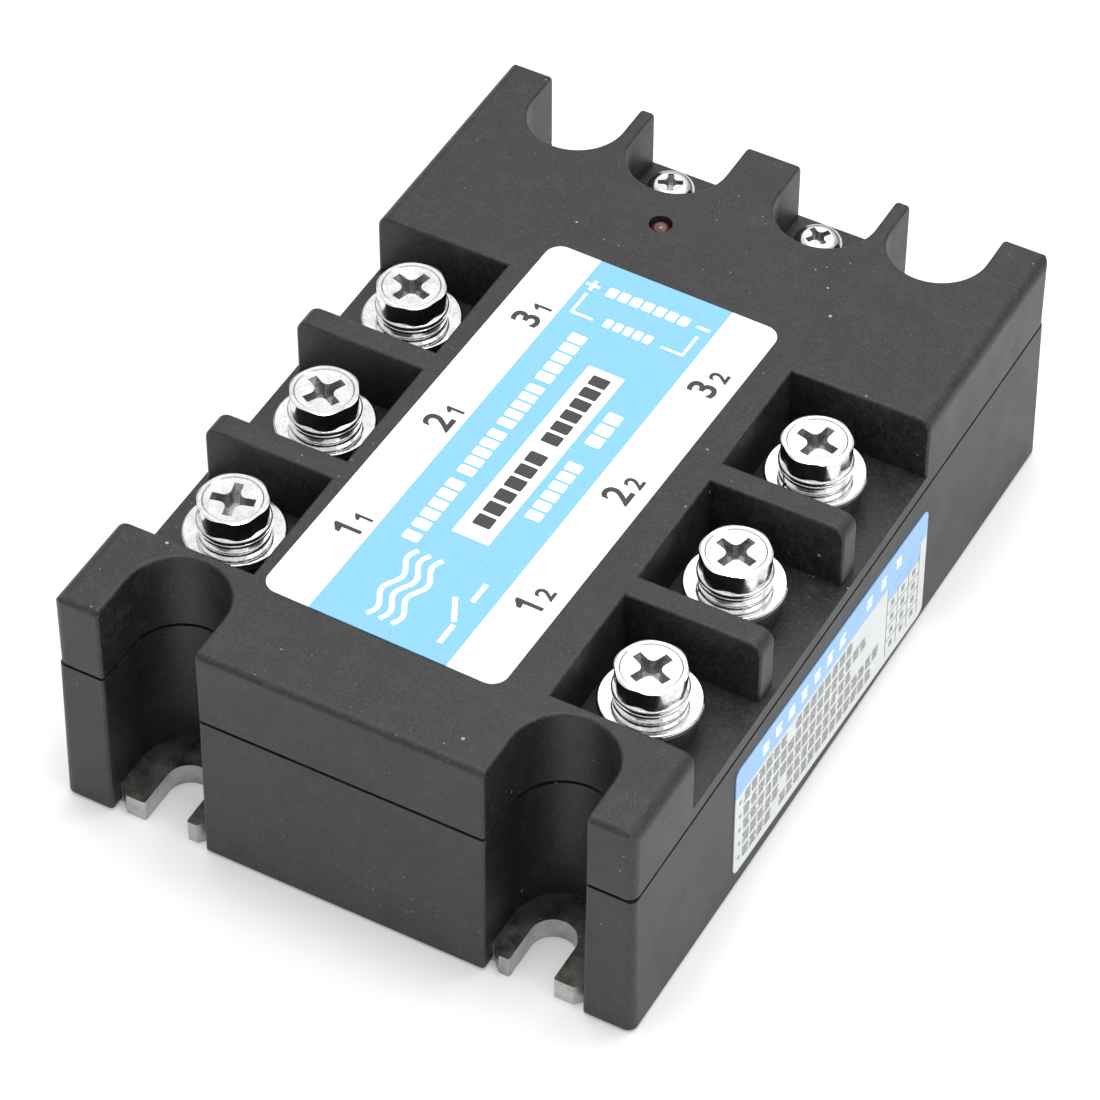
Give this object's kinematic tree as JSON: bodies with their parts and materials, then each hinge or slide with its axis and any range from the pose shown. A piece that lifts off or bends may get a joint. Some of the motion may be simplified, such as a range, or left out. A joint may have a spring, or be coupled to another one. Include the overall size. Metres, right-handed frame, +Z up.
{
  "type": "solid state relay",
  "caption": "Black three-phase relay block on a metal base, with screw terminals in open side bays, control terminals at one end and a status light.",
  "frame": {"origin": "middle of the underside of the base plate, on the mounting face", "axes": "+Y along the relay towards the control terminals, +X across it to the side with the side label, +Z up out of the mounting face"},
  "size_m": [0.0741, 0.105, 0.0331],
  "materials": {
    "moulded_black": "fine matt moulded texture",
    "plate_aluminium": "milled satin",
    "label_film": "satin printed film",
    "bright_plating": "bright nickel plating on steel",
    "terminal_metal": "nickel plated brass",
    "led_lens": "diffused red epoxy, unlit",
    "tinned_wire": "tinned",
    "alumina": "fired, unglazed",
    "copper": "bare copper",
    "silicon": "metallised die",
    "resin": "cured potting resin",
    "board_green": "solder-masked laminate",
    "package_black": "moulded epoxy",
    "resistor_coat": "lacquered",
    "capacitor_box": "moulded box"
  },
  "bodies": {
    "housing": {"base_plate": "plate_aluminium", "ceramic_substrate_a": "alumina", "ceramic_substrate_b": "alumina", "ceramic_substrate_c": "alumina", "control_terminal_minus": "terminal_metal", "control_terminal_plus": "terminal_metal", "copper_islands": "copper", "die_clips": "copper", "driver_board": "board_green", "gate_pins": "tinned_wire", "gate_resistors": "resistor_coat", "input_diode": "package_black", "led_leads": "tinned_wire", "lower_case": "moulded_black", "optocoupler_a": "package_black", "optocoupler_b": "package_black", "optocoupler_c": "package_black", "output_terminal_a1": "terminal_metal", "output_terminal_a2": "terminal_metal", "output_terminal_b1": "terminal_metal", "output_terminal_b2": "terminal_metal", "output_terminal_c1": "terminal_metal", "output_terminal_c2": "terminal_metal", "potting_compound": "resin", "regulator_transistor": "package_black", "side_label": "label_film", "snubber_capacitors": "capacitor_box", "snubber_resistors": "resistor_coat", "status_led": "led_lens", "thyristor_dies_a": "silicon", "thyristor_dies_b": "silicon", "thyristor_dies_c": "silicon", "top_cover": "moulded_black", "top_label": "label_film"},
    "washers_a1": {"spring_washer_a1": "bright_plating", "flat_washer_a1": "bright_plating"},
    "screw_a1": {"terminal_screw_a1": "bright_plating"},
    "washers_a2": {"spring_washer_a2": "bright_plating", "flat_washer_a2": "bright_plating"},
    "screw_a2": {"terminal_screw_a2": "bright_plating"},
    "washers_b1": {"spring_washer_b1": "bright_plating", "flat_washer_b1": "bright_plating"},
    "screw_b1": {"terminal_screw_b1": "bright_plating"},
    "washers_b2": {"spring_washer_b2": "bright_plating", "flat_washer_b2": "bright_plating"},
    "screw_b2": {"terminal_screw_b2": "bright_plating"},
    "washers_c1": {"spring_washer_c1": "bright_plating", "flat_washer_c1": "bright_plating"},
    "screw_c1": {"terminal_screw_c1": "bright_plating"},
    "washers_c2": {"spring_washer_c2": "bright_plating", "flat_washer_c2": "bright_plating"},
    "screw_c2": {"terminal_screw_c2": "bright_plating"},
    "washers_plus": {"control_spring_washer_plus": "bright_plating", "control_flat_washer_plus": "bright_plating"},
    "screw_plus": {"control_screw_plus": "bright_plating"},
    "washers_minus": {"control_spring_washer_minus": "bright_plating", "control_flat_washer_minus": "bright_plating"},
    "screw_minus": {"control_screw_minus": "bright_plating"}
  },
  "joints": [
    {"name": "lift_a1", "type": "slide", "parent": "housing", "child": "washers_a1", "axis": [0, 0, 1], "range_m": [0, 0.0056]},
    {"name": "turn_a1", "type": "hinge", "parent": "washers_a1", "child": "screw_a1", "pos_m": [-0.02665, -0.0299, 0.02955], "axis": [0, 0, 1], "range_deg": [0, 2521]},
    {"name": "lift_a2", "type": "slide", "parent": "housing", "child": "washers_a2", "axis": [0, 0, 1], "range_m": [0, 0.0056]},
    {"name": "turn_a2", "type": "hinge", "parent": "washers_a2", "child": "screw_a2", "pos_m": [0.02665, -0.0299, 0.02955], "axis": [0, 0, 1], "range_deg": [0, 2521]},
    {"name": "lift_b1", "type": "slide", "parent": "housing", "child": "washers_b1", "axis": [0, 0, 1], "range_m": [0, 0.0056]},
    {"name": "turn_b1", "type": "hinge", "parent": "washers_b1", "child": "screw_b1", "pos_m": [-0.02665, -0.0098, 0.02955], "axis": [0, 0, 1], "range_deg": [0, 2521]},
    {"name": "lift_b2", "type": "slide", "parent": "housing", "child": "washers_b2", "axis": [0, 0, 1], "range_m": [0, 0.0056]},
    {"name": "turn_b2", "type": "hinge", "parent": "washers_b2", "child": "screw_b2", "pos_m": [0.02665, -0.0098, 0.02955], "axis": [0, 0, 1], "range_deg": [0, 2521]},
    {"name": "lift_c1", "type": "slide", "parent": "housing", "child": "washers_c1", "axis": [0, 0, 1], "range_m": [0, 0.0056]},
    {"name": "turn_c1", "type": "hinge", "parent": "washers_c1", "child": "screw_c1", "pos_m": [-0.02665, 0.0103, 0.02955], "axis": [0, 0, 1], "range_deg": [0, 2521]},
    {"name": "lift_c2", "type": "slide", "parent": "housing", "child": "washers_c2", "axis": [0, 0, 1], "range_m": [0, 0.0056]},
    {"name": "turn_c2", "type": "hinge", "parent": "washers_c2", "child": "screw_c2", "pos_m": [0.02665, 0.0103, 0.02955], "axis": [0, 0, 1], "range_deg": [0, 2521]},
    {"name": "lift_plus", "type": "slide", "parent": "housing", "child": "washers_plus", "axis": [0, 0, 1], "range_m": [0, 0.003]},
    {"name": "turn_plus", "type": "hinge", "parent": "washers_plus", "child": "screw_plus", "pos_m": [-0.0107, 0.0454, 0.0267], "axis": [0, 0, 1], "range_deg": [0, 2161]},
    {"name": "lift_minus", "type": "slide", "parent": "housing", "child": "washers_minus", "axis": [0, 0, 1], "range_m": [0, 0.003]},
    {"name": "turn_minus", "type": "hinge", "parent": "washers_minus", "child": "screw_minus", "pos_m": [0.0093, 0.0454, 0.0267], "axis": [0, 0, 1], "range_deg": [0, 2161]}
  ],
  "couplings": [
    {"joint": "turn_a1", "follows": "lift_a1", "rad_per_m": 7854},
    {"joint": "turn_a2", "follows": "lift_a2", "rad_per_m": 7854},
    {"joint": "turn_b1", "follows": "lift_b1", "rad_per_m": 7854},
    {"joint": "turn_b2", "follows": "lift_b2", "rad_per_m": 7854},
    {"joint": "turn_c1", "follows": "lift_c1", "rad_per_m": 7854},
    {"joint": "turn_c2", "follows": "lift_c2", "rad_per_m": 7854},
    {"joint": "turn_plus", "follows": "lift_plus", "rad_per_m": 12566},
    {"joint": "turn_minus", "follows": "lift_minus", "rad_per_m": 12566}
  ]
}
